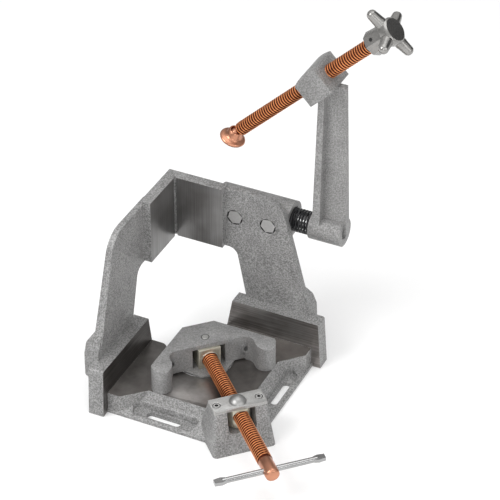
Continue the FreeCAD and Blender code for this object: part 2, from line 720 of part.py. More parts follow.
def screw_retaining_ring():
    """Ring in the block's mouth that traps the screw's flange."""
    front = SWIVEL_Y + BLOCK_FRONT
    ring = rod(V(0, -front - 0.6, SCREW_Z), V(0, 1, 0), RING_LENGTH, SCREW_FLANGE_DIA + 4 * RUNNING)
    bore = rod(V(0, -front - 1, SCREW_Z), V(0, 1, 0), RING_LENGTH + 1, SCREW_DIA + 4 * RUNNING)
    return on_bisector(ring.cut(bore))


def jaw_half_outline(side):
    """Plan of one half of the moving jaw, from the nose round the finger to the front wall."""
    front = -FINGER_Y - FINGER_DIA / 2
    inner = FINGER_X - FINGER_DIA / 2
    finger_round = FINGER_DIA / 2 - ALMOST
    return [
        (side * NOSE_HALF, -NOSE_Y),
        (side * WING_END, -NOSE_Y - (WING_END - NOSE_HALF)),
        (side * WING_END, front, finger_round),
        (side * inner, front, finger_round),
        (side * inner, -FRONT_WALL_Y, FINGER_INNER_ROUND),
    ]


def finger_trim():
    """What is missing above the fingers, where their tops slope and round down."""
    front = FINGER_Y + FINGER_DIA / 2
    start = front - FINGER_SLOPE - FINGER_NOSE_ROUND
    return cross_prism([
        (-start, MOVING_TOP + 1),
        (-start, MOVING_TOP),
        (-front, MOVING_TOP - FINGER_DROP, FINGER_NOSE_ROUND),
        (-front, MOVING_BOTTOM),
        (-front - 1, MOVING_BOTTOM),
        (-front - 1, MOVING_TOP + 1),
    ], -WING_END - 1, WING_END + 1)


def moving_jaw():
    """Moving jaw: nose, two wings that end in round fingers, and the slot for the swivel block."""
    outline = jaw_half_outline(1) + jaw_half_outline(-1)[::-1]
    body = flat_prism(outline, MOVING_BOTTOM, MOVING_TOP).cut(finger_trim())
    lift = flat_prism([
        (-FINGER_X + FINGER_DIA / 2, -CAVITY_BACK - SHELL_WALL),
        (-FINGER_X + FINGER_DIA / 2, -FRONT_WALL_Y - 1),
        (FINGER_X - FINGER_DIA / 2, -FRONT_WALL_Y - 1),
        (FINGER_X - FINGER_DIA / 2, -CAVITY_BACK - SHELL_WALL),
    ], MOVING_BOTTOM - 1, MOVING_BOTTOM + WING_LIFT)
    tongue_bottom = MOVING_BOTTOM
    tongue = flat_prism([
        (-TONGUE_HALF, -CAVITY_BACK),
        (-TONGUE_HALF, -FRONT_WALL_Y),
        (-TONGUE_HALF_TIP, -FRONT_WALL_Y - TONGUE_REACH, 2.0),
        (TONGUE_HALF_TIP, -FRONT_WALL_Y - TONGUE_REACH, 2.0),
        (TONGUE_HALF, -FRONT_WALL_Y),
        (TONGUE_HALF, -CAVITY_BACK),
    ], tongue_bottom, tongue_bottom + BOTTOM_LUG)
    pieces = [body.cut(lift), tongue]
    for side in (-1, 1):
        boss_base = V(side * WING_HOLE_X, -FRONT_WALL_Y - WING_BOSS, WING_HOLE_Z)
        pieces.append(rod(boss_base, V(0, 1, 0), WING_BOSS + 2, WING_BOSS_DIA))
    body = fused(pieces)
    cavity = Part.makeBox(2 * CAVITY_HALF, FRONT_WALL_Y - CAVITY_BACK + 3,
                          MOVING_TOP - TOP_PLATE - MOVING_BOTTOM - BOTTOM_LUG,
                          V(-CAVITY_HALF, -FRONT_WALL_Y - 3, MOVING_BOTTOM + BOTTOM_LUG))
    body = body.cut(cavity)
    body = body.cut(rod(V(0, -SWIVEL_Y, MOVING_BOTTOM - 1), V(0, 0, 1), MOVING_TOP, SWIVEL_PIN_DIA))
    for side in (-1, 1):
        hole = rod(V(side * WING_HOLE_X, -FRONT_WALL_Y - WING_BOSS - 1, WING_HOLE_Z), V(0, 1, 0),
                   WING_BOSS + 1 + WING_HOLE_DEPTH, WING_HOLE_DIA)
        body = body.cut(hole)
    return on_bisector(body)


def jaw_pivot_pin():
    """Upright pin through the jaw and its swivel block."""
    pin = rod(V(0, -SWIVEL_Y, MOVING_BOTTOM), V(0, 0, 1), MOVING_TOP - MOVING_BOTTOM + PIN_PROUD, SWIVEL_PIN_DIA)
    return on_bisector(pin)


def pivot_bracket():
    """Bracket behind the right upright: barrel for the arm's pin, flat pad for the bolts."""
    barrel = rod(V(BARREL_LEFT, PIVOT_BACK, PIVOT_Z), V(1, 0, 0), BARREL_LENGTH, BARREL_DIA)
    pad = Part.makeBox(PAD_LENGTH, PIVOT_BACK - BRACKET_FACE, PAD_HEIGHT,
                       V(PAD_START, BRACKET_FACE, PIVOT_Z - PAD_HEIGHT / 2))
    keep = Part.makeBox(BARREL_LENGTH + 2, 2 * BARREL_DIA, 2 * BARREL_DIA,
                        V(BARREL_LEFT - 1, BRACKET_FACE, PIVOT_Z - BARREL_DIA))
    body = barrel.fuse(pad).common(keep).removeSplitter()
    bore = rod(V(BARREL_LEFT, PIVOT_BACK, PIVOT_Z), V(1, 0, 0), BARREL_LENGTH, PIVOT_DIA + 2 * RUNNING)
    pocket = rod(V(BARREL_RIGHT - SPRING_POCKET, PIVOT_BACK, PIVOT_Z), V(1, 0, 0), SPRING_POCKET, SPRING_POCKET_DIA)
    body = body.cut(bore).cut(pocket)
    for x in bolt_points():
        hole = rod(V(x, BRACKET_FACE, PIVOT_Z), V(0, 1, 0), BOLT_SEAT + BOLT_LENGTH - BRACKET_FACE, BOLT_DIA)
        body = body.cut(hole)
    return body


def bracket_bolts():
    """Two hexagon bolts from the front of the upright into the bracket."""
    solids = []
    for x in bolt_points():
        head = hexagon_rod(V(x, BOLT_SEAT, PIVOT_Z), V(0, -1, 0), BOLT_HEAD, BOLT_FLATS, 12)
        shank = rod(V(x, BOLT_SEAT, PIVOT_Z), V(0, 1, 0), BOLT_LENGTH, BOLT_DIA)
        solids.append(head.fuse(shank).removeSplitter())
    return Part.Compound(solids)


def arm_spring():
    """Compression spring between the barrel's pocket and the hub, as a chain of short straight runs."""
    start = BARREL_RIGHT - SPRING_POCKET + SPRING_WIRE / 2 + FACE_GAP
    end = HUB_LEFT - SPRING_WIRE / 2 - FACE_GAP
    mean = (SPRING_DIA - SPRING_WIRE) / 2
    runs = SPRING_TURNS * SPRING_RUNS
    points = []
    for i in range(runs + 1):
        angle = 2 * math.pi * i / SPRING_RUNS
        points.append(V(mean * math.cos(angle), mean * math.sin(angle), (end - start) * i / runs))
    first = points[1] - points[0]
    section = hexagon_wire(points[0], first, SPRING_WIRE / 2)
    coil = Part.makePolygon(points).makePipeShell([section], True, False, 1)
    coil.Placement = FreeCAD.Placement(V(start, PIVOT_BACK, PIVOT_Z), FreeCAD.Rotation(V(0, 0, 1), V(1, 0, 0)))
    return coil


def lock_face():
    """X of the lock nut's inner face."""
    return BARREL_LEFT - FACE_GAP - END_WASHER


def pivot_pin():
    """Arm pivot pin, with a thinner threaded end for the lock nut."""
    end = HUB_RIGHT - PIN_RECESS
    body = rod(V(lock_face(), PIVOT_BACK, PIVOT_Z), V(1, 0, 0), end - lock_face(), PIVOT_DIA)
    tail = rod(V(lock_face() - LOCK_NUT - 2, PIVOT_BACK, PIVOT_Z), V(1, 0, 0), LOCK_NUT + 2, THREAD_END_DIA)
    return body.fuse(tail).cut(roll_pin_rod()).removeSplitter()


def roll_pin_rod():
    """Rod across the hub, leaning forward at its lower end."""
    lean = V(0, -0.5, -math.sqrt(0.75))
    middle = V(HUB_LEFT + ROLL_PIN_FROM_LEFT, PIVOT_BACK, PIVOT_Z)
    half = HUB_DIA / 2 - 0.5
    return rod(middle - lean * half, lean, 2 * half, ROLL_PIN_DIA)


def hub_roll_pin():
    """Roll pin that fixes the pivot pin in the hub."""
    return roll_pin_rod()


def pin_lock_nut():
    """Hexagon nut on the far end of the pivot pin."""
    nut = hexagon_rod(V(lock_face() - LOCK_NUT, PIVOT_BACK, PIVOT_Z), V(1, 0, 0), LOCK_NUT, LOCK_NUT_FLATS)
    bore = rod(V(lock_face() - LOCK_NUT, PIVOT_BACK, PIVOT_Z), V(1, 0, 0), LOCK_NUT, THREAD_END_DIA)
    return nut.cut(bore)


def end_washer():
    """Washer between the lock nut and the barrel."""
    washer = rod(V(lock_face() + FACE_GAP / 2, PIVOT_BACK, PIVOT_Z), V(1, 0, 0), END_WASHER - FACE_GAP / 2, END_WASHER_DIA)
    hole = rod(V(lock_face(), PIVOT_BACK, PIVOT_Z), V(1, 0, 0), END_WASHER + 1, PIVOT_DIA + 4 * RUNNING)
    return washer.cut(hole)


def swing_arm():
    """Swing arm: hub, tee-section bar and the tilted head block that the arm screw runs through."""
    hub = rod(V(HUB_LEFT, PIVOT_BACK, PIVOT_Z), V(1, 0, 0), HUB_LENGTH, HUB_DIA)
    top = SCREW_CROSS.z

    def section(z, u0, u1, half):
        corners = [V(u0, PIVOT_BACK - half, z), V(u1, PIVOT_BACK - half, z),
                   V(u1, PIVOT_BACK + half, z), V(u0, PIVOT_BACK + half, z)]
        return Part.makePolygon(corners + corners[:1])
    flange = Part.makeLoft([
        section(PIVOT_Z, FLANGE_FACE, FLANGE_FACE + FLANGE_THICK_FOOT, FLANGE_WIDTH_FOOT / 2),
        section(top, FLANGE_FACE + FLANGE_LEAN, FLANGE_FACE + FLANGE_LEAN + FLANGE_THICK_TOP, FLANGE_WIDTH_TOP / 2),
    ], True, True)
    web = Part.makeLoft([
        section(PIVOT_Z, FLANGE_FACE + 2, WEB_EDGE_FOOT, WEB_THICK / 2),
        section(top, FLANGE_FACE + FLANGE_LEAN + 2, WEB_EDGE_TOP, WEB_THICK / 2),
    ], True, True)
    front = -HEAD_BLOCK_DEPTH / 2
    lower_pad = along_screw(-HEAD_BLOCK_PAD_SIDE, -HEAD_BLOCK_BELOW, front)
    lower_knob = along_screw(HEAD_BLOCK_KNOB_SIDE, -HEAD_BLOCK_BELOW, front)
    upper_knob = along_screw(HEAD_BLOCK_KNOB_SIDE, HEAD_BLOCK_ABOVE, front)
    crown = along_screw((HEAD_BLOCK_KNOB_SIDE - HEAD_BLOCK_PAD_SIDE) / 2, HEAD_BLOCK_CROWN, front)
    upper_pad = along_screw(-HEAD_BLOCK_PAD_SIDE, HEAD_BLOCK_NOSE, front)
    block_face = Part.Wire([
        Part.makeLine(lower_pad, lower_knob),
        Part.makeLine(lower_knob, upper_knob),
        Part.Arc(upper_knob, crown, upper_pad).toShape(),
        Part.makeLine(upper_pad, lower_pad),
    ])
    block = Part.Face(block_face).extrude(V(0, HEAD_BLOCK_DEPTH, 0))
    body = fused([hub, flange.cut(beyond_block(0)), web.cut(beyond_block(WEB_CREST)).cut(above_web()), block])
    body = body.cut(rod(V(HUB_LEFT, PIVOT_BACK, PIVOT_Z), V(1, 0, 0), HUB_LENGTH, PIVOT_DIA))
    body = body.cut(roll_pin_rod())
    bore = rod(along_screw(-HEAD_BLOCK_PAD_SIDE - 1), E_LONG, HEAD_BLOCK_PAD_SIDE + HEAD_BLOCK_KNOB_SIDE + 2,
               ARM_SCREW_DIA + 2 * RUNNING)
    return body.cut(bore)


def beyond_block(run):
    """Everything on the knob side of the head block, from a distance past its face."""
    size = ARM_REACH
    start = HEAD_BLOCK_KNOB_SIDE + run
    corners = [along_screw(start, -size, -size), along_screw(start, size, -size),
               along_screw(start, size, size), along_screw(start, -size, size)]
    return Part.Face(Part.makePolygon(corners + corners[:1])).extrude(E_LONG * size)


def above_web():
    """What the web's crest leaves free round the arm screw."""
    size = ARM_REACH
    corners = [along_screw(HEAD_BLOCK_KNOB_SIDE, -WEB_CREST_SIDE, -size), along_screw(HEAD_BLOCK_KNOB_SIDE, size, -size),
               along_screw(size, size, -size), along_screw(size, -WEB_CREST_SIDE, -size)]
    return Part.Face(Part.makePolygon(corners + corners[:1])).extrude(V(0, 2 * size, 0))


def ball_middle():
    """Middle of the arm screw's ball."""
    return along_screw(-SCREW_TIP - BALL_FROM_TIP)


def arm_screw():
    """Arm screw: ball and neck at the tip, threaded length, stub inside the knob."""
    neck = NECK_DIA / 2
    radius = BALL_DIA / 2
    join = math.sqrt(radius * radius - neck * neck)
    start = SCREW_KNOB_START + SCREW_TIP + BALL_FROM_TIP
    profile = [(-radius, 0)] + ball_profile(radius, -radius, join)[1:] + [
        (BALL_FROM_TIP, neck),
        (BALL_FROM_TIP, ARM_SCREW_DIA / 2),
        (start, ARM_SCREW_DIA / 2),
        (start, KNOB_STUB_DIA / 2),
        (start + KNOB_STUB, KNOB_STUB_DIA / 2),
        (start + KNOB_STUB, 0),
    ]
    return turned(profile, ball_middle(), E_LONG).cut(knob_pin_rod())


def pad_snap_ring():
    """Ring on the neck, behind the pad."""
    start = along_screw(-SCREW_TIP - SNAP_RING_FROM_TIP - SNAP_RING)
    ring = rod(start, E_LONG, SNAP_RING, SNAP_RING_DIA)
    return ring.cut(rod(start, E_LONG, SNAP_RING, NECK_DIA + 2 * RUNNING))


def swivel_pad():
    """Mushroom pad that hangs on the screw's ball."""
    face = -PAD_FACE_FROM_BALL
    profile = [
        (face, 0),
        (face, PAD_DIA / 2 - PAD_EDGE),
        (face + PAD_CROWN, PAD_DIA / 2 - PAD_BEVEL),
        (face + PAD_CROWN + PAD_BEVEL, PAD_DIA / 2),
        (face + PAD_RIM - PAD_BEVEL, PAD_DIA / 2),
        (face + PAD_RIM, PAD_DIA / 2 - PAD_BEVEL),
        (face + PAD_RIM + PAD_BEVEL, PAD_NECK_DIA / 2 + PAD_BEVEL),
        (PAD_NECK_FROM_BALL, PAD_NECK_DIA / 2),
        (PAD_NECK_FROM_BALL, 0),
    ]
    body = turned(profile, ball_middle(), E_PAD)
    radius = BALL_DIA / 2 + SOCKET_GAP
    socket = [(-radius, 0)] + ball_profile(radius, -radius, PAD_MOUTH_FROM_BALL)[1:] + [
        (PAD_MOUTH_FROM_BALL, PAD_MOUTH_DIA / 2),
        (PAD_NECK_FROM_BALL, PAD_MOUTH_RIM_DIA / 2),
        (PAD_NECK_FROM_BALL, 0),
    ]
    return body.cut(turned(socket, ball_middle(), E_PAD))


def knob_pin_rod():
    """Rod across the knob and the screw's stub."""
    middle = along_screw(SCREW_KNOB_START + KNOB_PIN_FROM_START)
    half = KNOB_HUB_FLATS / 2 - 0.6
    across = knob_direction(0)
    return rod(middle - across * half, across, 2 * half, KNOB_PIN_DIA)


def knob_pin():
    """Pin through the knob's hub."""
    return knob_pin_rod()


def knob_direction(index):
    """Direction of one of the four prongs, across the screw."""
    angle = math.radians(PRONG_TURN + 90 * index)
    lower = E_SIDE * -1
    forward = V(0, -1, 0)
    return lower * math.cos(angle) + forward * math.sin(angle)


def prong():
    """Profile of one prong from the knob's middle: flared root, round tip."""
    straight = PRONG_REACH - PRONG_TIP_DIA / 2
    tip = [(straight + along, radius) for along, radius in ball_profile(PRONG_TIP_DIA / 2, 0, PRONG_TIP_DIA / 2)]
    return [
        (0, 0),
        (0, PRONG_ROOT_DIA / 2),
        (KNOB_HEAD_DIA / 2 - PRONG_FLARE, PRONG_ROOT_DIA / 2),
        (KNOB_HEAD_DIA / 2 + PRONG_FLARE, PRONG_DIA / 2),
    ] + tip[:-1] + [(PRONG_REACH, 0)]


def star_knob():
    """Four-pronged knob with a flat-sided hub."""
    start = along_screw(SCREW_KNOB_START)
    head_start = KNOB_LENGTH - KNOB_HEAD
    half = KNOB_HUB_FLATS / 2
    corner = half * math.tan(math.pi / 8)
    side = knob_direction(0)
    up = knob_direction(1)

    def place(a, b):
        return start + side * a + up * b
    hub_outline = [(half, -corner), (half, corner), (corner, half), (-corner, half),
                   (-half, corner), (-half, -corner), (-corner, -half), (corner, -half)]
    hub = prism(hub_outline, place, E_LONG * (head_start + KNOB_FLARE))
    head = turned([
        (head_start - KNOB_FLARE, 0),
        (head_start - KNOB_FLARE, half - KNOB_EDGE),
        (head_start + KNOB_FLARE, KNOB_HEAD_DIA / 2),
        (KNOB_LENGTH - KNOB_EDGE, KNOB_HEAD_DIA / 2),
        (KNOB_LENGTH, KNOB_HEAD_DIA / 2 - KNOB_EDGE),
        (KNOB_LENGTH, 0),
    ], start, E_LONG)
    pieces = [hub, head]
    prong_middle = along_screw(SCREW_KNOB_START + KNOB_LENGTH - PRONG_FROM_FACE)
    for index in range(4):
        pieces.append(turned(prong(), prong_middle, knob_direction(index)))
    body = fused(pieces)
    body = body.cut(rod(start, E_LONG, KNOB_STUB, KNOB_STUB_DIA)).cut(knob_pin_rod())
    return body


NODES = {
    "main_casting": main_casting,
    "nut_cover_plate": nut_cover_plate,
    "plate_screws": plate_screws,
    "swivel_nut": swivel_nut,
    "nut_rivet": nut_rivet,
    "main_screw": main_screw,
    "tee_bar": tee_bar,
    "jaw_swivel_block": jaw_swivel_block,
    "screw_retaining_ring": screw_retaining_ring,
    "moving_jaw": moving_jaw,
    "jaw_pivot_pin": jaw_pivot_pin,
    "pivot_bracket": pivot_bracket,
    "bracket_bolts": bracket_bolts,
    "arm_spring": arm_spring,
    "pivot_pin": pivot_pin,
    "hub_roll_pin": hub_roll_pin,
    "pin_lock_nut": pin_lock_nut,
    "end_washer": end_washer,
    "swing_arm": swing_arm,
    "arm_screw": arm_screw,
    "pad_snap_ring": pad_snap_ring,
    "swivel_pad": swivel_pad,
    "star_knob": star_knob,
    "knob_pin": knob_pin,
}

for node, build in NODES.items():
    shape = build()
    shape.exportStep("parts/" + node + ".step")
    print(node, "solids", len(shape.Solids), "volume", round(shape.Volume / 1000, 2), "valid", shape.isValid())
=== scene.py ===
"""Three-axis welder's corner clamp, dressed for its picture.

Metres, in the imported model's frame: +X along the right fixed jaw, -Y along the left one, +Z up.
"""

import json
import math
import bmesh
import bpy
from mathutils import Matrix, Vector


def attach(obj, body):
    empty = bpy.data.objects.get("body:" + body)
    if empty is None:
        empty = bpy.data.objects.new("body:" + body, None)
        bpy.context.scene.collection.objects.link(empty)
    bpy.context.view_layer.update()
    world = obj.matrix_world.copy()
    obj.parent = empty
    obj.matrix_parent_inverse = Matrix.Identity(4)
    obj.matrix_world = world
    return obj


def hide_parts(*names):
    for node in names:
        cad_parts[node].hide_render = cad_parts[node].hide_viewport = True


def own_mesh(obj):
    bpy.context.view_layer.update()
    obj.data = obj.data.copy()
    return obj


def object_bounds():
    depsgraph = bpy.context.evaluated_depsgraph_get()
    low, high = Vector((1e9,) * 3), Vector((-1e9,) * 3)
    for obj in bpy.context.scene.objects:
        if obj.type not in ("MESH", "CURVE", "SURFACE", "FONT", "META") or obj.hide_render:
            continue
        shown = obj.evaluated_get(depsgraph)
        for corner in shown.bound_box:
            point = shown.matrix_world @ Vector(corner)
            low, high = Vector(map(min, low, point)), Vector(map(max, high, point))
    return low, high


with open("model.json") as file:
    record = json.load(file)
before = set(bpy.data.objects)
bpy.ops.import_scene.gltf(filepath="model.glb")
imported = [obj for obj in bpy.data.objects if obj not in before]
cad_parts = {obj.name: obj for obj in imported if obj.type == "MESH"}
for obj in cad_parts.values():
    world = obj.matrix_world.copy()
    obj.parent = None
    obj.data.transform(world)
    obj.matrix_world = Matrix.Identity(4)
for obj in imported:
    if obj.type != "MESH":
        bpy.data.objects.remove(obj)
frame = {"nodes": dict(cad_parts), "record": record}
cad_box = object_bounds()
MM = 0.001


# The photograph's view: a long lens from above, a little to the right of the left jaw's direction.
VIEW_TURN = math.radians(25.54)
VIEW_RISE = math.radians(35.78)
VIEW_DISTANCE = 2.6
VIEW_ASIDE = 0.08498
VIEW_UP = 0.09013
VIEW_LENS = 158.4
back = Vector((math.sin(VIEW_TURN) * math.cos(VIEW_RISE),
               -math.cos(VIEW_TURN) * math.cos(VIEW_RISE),
               math.sin(VIEW_RISE)))
right = Vector((math.cos(VIEW_TURN), math.sin(VIEW_TURN), 0))
up = back.cross(right)
camera = bpy.data.objects.new("camera", bpy.data.cameras.new("camera"))
camera.data.sensor_width = 36
camera.data.lens = VIEW_LENS
camera.data.clip_end = 20
camera.location = back * VIEW_DISTANCE + right * VIEW_ASIDE + up * VIEW_UP
camera.rotation_euler = Matrix((right, up, back)).transposed().to_euler()
bpy.context.scene.collection.objects.link(camera)
bpy.context.scene.camera = camera
bpy.context.scene.view_settings.view_transform = "Standard"


# The main casting: one grey iron pour with bed, jaws, uprights, head and boss. It is sprayed with
# grey hammertone paint, with a painted highlight along the rounded edges. The faces that hold the work
# are ground bare, the bed is lighter in a round patch under the left finger, and the bolts'
# counterbores carry painted shade inside.
def new_finish(name):
    """Empty material with its shader and its place on the piece."""
    material = bpy.data.materials.new(name)
    material.use_nodes = True
    tree = material.node_tree
    place = tree.nodes.new("ShaderNodeTexCoord")
    return material, tree, tree.nodes["Principled BSDF"], place.outputs["Object"]


def noise(tree, place, scale, detail=3.0, roughness=0.6, stretch=None):
    """Noise on the piece; stretch holds a scale for each axis."""
    if stretch:
        mapping = tree.nodes.new("ShaderNodeMapping")
        mapping.inputs["Scale"].default_value = stretch
        tree.links.new(place, mapping.inputs["Vector"])
        place = mapping.outputs["Vector"]
    texture = tree.nodes.new("ShaderNodeTexNoise")
    texture.inputs["Scale"].default_value = scale
    texture.inputs["Detail"].default_value = detail
    texture.inputs["Roughness"].default_value = roughness
    tree.links.new(place, texture.inputs["Vector"])
    return texture.outputs["Fac"]


def toned(tree, fac, low, dark, high, light):
    """Colour that runs from dark to light as the noise does."""
    ramp = tree.nodes.new("ShaderNodeValToRGB")
    ramp.color_ramp.elements[0].position = low
    ramp.color_ramp.elements[0].color = (*dark, 1)
    ramp.color_ramp.elements[1].position = high
    ramp.color_ramp.elements[1].color = (*light, 1)
    tree.links.new(fac, ramp.inputs["Fac"])
    return ramp.outputs["Color"]


def times(tree, first, second, factor):
    """One colour multiplied by another."""
    mix = tree.nodes.new("ShaderNodeMix")
    mix.data_type = "RGBA"
    mix.blend_type = "MULTIPLY"
    mix.inputs["Factor"].default_value = factor
    tree.links.new(first, mix.inputs["A"])
    tree.links.new(second, mix.inputs["B"])
    return mix.outputs["Result"]


def dented(tree, fac, strength, distance, shader):
    """Relief from the noise."""
    relief = tree.nodes.new("ShaderNodeBump")
    relief.inputs["Strength"].default_value = strength
    relief.inputs["Distance"].default_value = distance
    tree.links.new(fac, relief.inputs["Height"])
    tree.links.new(relief.outputs["Normal"], shader.inputs["Normal"])


def hammertone(name, dark, light, relief, roughness=0.45):
    """Grey paint that dries into fine light and dark pools."""
    material, tree, shader, place = new_finish(name)
    pools = noise(tree, place, 560, 4, 0.75)
    clouds = noise(tree, place, 46, 3, 0.6)
    speckle = toned(tree, pools, 0.4, dark, 0.61, light)
    drift = toned(tree, clouds, 0.3, (0.8, 0.8, 0.8), 0.7, (1.0, 1.0, 1.0))
    tree.links.new(times(tree, speckle, drift, 1.0), shader.inputs["Base Color"])
    dented(tree, pools, relief, 0.7 * MM, shader)
    shader.inputs["Metallic"].default_value = 0.25
    shader.inputs["Roughness"].default_value = roughness
    return material


def ground_iron(name, grain_scale, dark, light, roughness, cloud_scale=20):
    """Bare ground iron, with a grain that runs along the grinding."""
    material, tree, shader, place = new_finish(name)
    grain = noise(tree, place, 1, 4, 0.6, grain_scale)
    clouds = noise(tree, place, cloud_scale, 2, 0.5)
    lines = toned(tree, grain, 0.32, dark, 0.7, light)
    stain = toned(tree, clouds, 0.35, (0.66, 0.64, 0.63), 0.68, (1.0, 1.0, 1.0))
    tree.links.new(times(tree, lines, stain, 1.0), shader.inputs["Base Color"])
    dented(tree, grain, 0.12, 0.3 * MM, shader)
    shader.inputs["Metallic"].default_value = 0.8
    shader.inputs["Roughness"].default_value = roughness
    return material


def softened(node, name, width, segments=2, angle=30, edge_slot=-1):
    """Copy of a CAD node with its edges rounded, which then stands for the node."""
    source = frame["nodes"][node]
    mesh = source.data.copy()
    mesh.materials.clear()
    work = bmesh.new()
    work.from_mesh(mesh)
    bmesh.ops.remove_doubles(work, verts=work.verts, dist=0.01 * MM)
    bmesh.ops.dissolve_limit(work, angle_limit=math.radians(0.6), verts=work.verts, edges=work.edges,
                             delimit={"NORMAL"})
    work.to_mesh(mesh)
    work.free()
    piece = bpy.data.objects.new(name, mesh)
    bpy.context.scene.collection.objects.link(piece)
    for face in mesh.polygons:
        face.use_smooth = True
    rounding = piece.modifiers.new("rounding", "BEVEL")
    rounding.width = width
    rounding.segments = segments
    rounding.limit_method = "ANGLE"
    rounding.angle_limit = math.radians(angle)
    rounding.harden_normals = True
    rounding.miter_outer = "MITER_ARC"
    # Faces of the rounding take the material in edge_slot; the callers put a painted edge highlight there.
    rounding.material = edge_slot
    body = next(b for b, members in frame["record"]["behaviour"]["bodies"].items() if node in members)
    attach(piece, body)
    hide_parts(node)
    return piece


paint = hammertone("casting hammertone", (0.17, 0.168, 0.166), (0.44, 0.437, 0.433), 0.75)
# Lighter paint for the rounded edges: a painted highlight.
painted_edge_highlight = hammertone("casting painted edge highlight", (0.36, 0.357, 0.352), (0.72, 0.717, 0.71), 0.4, 0.4)
bed_iron = ground_iron("bed ground flat", (60, 60, 60), (0.3, 0.289, 0.281), (0.43, 0.415, 0.403), 0.34, 16)
left_iron = ground_iron(
    "jaw face ground along", (14, 14, 950), (0.1, 0.094, 0.09), (0.21, 0.2, 0.192), 0.3, 26)
head_iron = ground_iron(
    "head ground upright", (900, 900, 10), (0.2, 0.198, 0.196), (0.3, 0.298, 0.295), 0.36, 24)
right_iron = ground_iron(
    "right face ground along", (7, 7, 420), (0.2, 0.188, 0.18), (0.44, 0.422, 0.408), 0.34, 30)
# Near-black for the inside of counterbores and countersinks: painted shade.
bore_shade = ground_iron("counterbore painted shade", (300, 300, 300), (0.02, 0.02, 0.02), (0.05, 0.05, 0.05), 0.6)

# The bed's colour is lighter in a round patch under the left finger and fades outward from its middle.
BRIGHT_PATCH_MIDDLE = (0.078, -0.129, 0.026)
BRIGHT_PATCH_SPREAD = (0.036, 0.042, 0.04)
tree = bed_iron.node_tree
patch_place = tree.nodes.new("ShaderNodeMapping")
patch_place.vector_type = "TEXTURE"
patch_place.inputs["Location"].default_value = BRIGHT_PATCH_MIDDLE
patch_place.inputs["Rotation"].default_value = (0, 0, math.radians(45))
patch_place.inputs["Scale"].default_value = BRIGHT_PATCH_SPREAD
spot = tree.nodes.new("ShaderNodeTexGradient")
spot.gradient_type = "SPHERICAL"
bright = toned(tree, spot.outputs["Fac"], 0.0, (0.46, 0.45, 0.44), 0.5, (1.0, 1.0, 1.0))
tree.links.new(tree.nodes["Texture Coordinate"].outputs["Object"], patch_place.inputs["Vector"])
tree.links.new(patch_place.outputs["Vector"], spot.inputs["Vector"])
shader = tree.nodes["Principled BSDF"]
plain = shader.inputs["Base Color"].links[0].from_socket
tree.links.new(times(tree, plain, bright, 1.0), shader.inputs["Base Color"])

casting = softened("main_casting", "casting", 0.9 * MM, 3, 30, 1)
for material in (paint, painted_edge_highlight, bed_iron, left_iron, head_iron, bore_shade, right_iron):
    casting.data.materials.append(material)
BED_SLOT, LEFT_SLOT, HEAD_SLOT, BORE_SLOT, RIGHT_SLOT = range(2, 7)

APRON_START = 150       # millimetres from the jaw faces
APRON_RUN = 22
APRON_TOP = 17.5
APRON_SINKS = 0.5       # share of its height that the lip loses at its edge
BOSS_START = 130
for vertex in casting.data.vertices:
    reach = max(vertex.co.x, -vertex.co.y) / MM
    beside = min(vertex.co.x, -vertex.co.y) / MM
    if reach > APRON_START + 3 and 0.05 < vertex.co.z / MM < APRON_TOP and beside < BOSS_START:
        vertex.co.z *= 1 - APRON_SINKS * min(1, (reach - APRON_START) / APRON_RUN)

BED_HEIGHT = 26
HEAD_BOTTOM = 128
COUNTERBORE_REACH = 10
COUNTERBORES = [Vector((x * MM, 0, 172 * MM)) for x in (70.5, 111.5)]


def in_counterbore(face):
    """True for a face that lies wholly in one of the two counterbores."""
    corners = [casting.data.vertices[index].co for index in face.vertices]
    for bolt in COUNTERBORES:
        distances = [math.hypot(corner.x - bolt.x, corner.z - bolt.z) for corner in corners]
        if max(distances) < COUNTERBORE_REACH * MM:
            return True
    return False


for face in casting.data.polygons:
    middle, normal = face.center / MM, face.normal
    on_right = normal.y < -0.98 and abs(middle.y) < 0.3
    on_left = normal.x > 0.98 and abs(middle.x) < 0.3
    if (on_right or on_left) and middle.z > HEAD_BOTTOM:
        face.material_index = HEAD_SLOT
    elif on_right:
        face.material_index = RIGHT_SLOT
    elif on_left:
        face.material_index = LEFT_SLOT
    elif normal.z > 0.98 and abs(middle.z - BED_HEIGHT) < 0.5:
        face.material_index = BED_SLOT
    # Faces lying inside the two counterbores take the painted shade.
    elif in_counterbore(face):
        face.material_index = BORE_SLOT


# The barrel's bracket, bolted to the back of the right upright, and the swing arm with its hub and
# head block: smaller castings in the same paint, with a smoother skin.
arm_paint = hammertone("arm hammertone", (0.205, 0.202, 0.2), (0.41, 0.407, 0.402), 0.5)
# Bracket and arm take the painted edge highlight on their rounded edges.
bracket = softened("pivot_bracket", "bracket", 0.9 * MM, 2, 30, 1)
bracket.data.materials.append(arm_paint)
bracket.data.materials.append(painted_edge_highlight)
arm = softened("swing_arm", "arm", 1.1 * MM, 2, 30, 1)
arm.data.materials.append(arm_paint)
arm.data.materials.append(painted_edge_highlight)


# The moving jaw: an iron casting with two round fingers, in a smoother paint. Its slot for the swivel
# block is a little wider than the CAD node's, as in the photograph.
jaw_paint = hammertone("jaw paint", (0.225, 0.223, 0.221), (0.36, 0.357, 0.354), 0.35, 0.5)
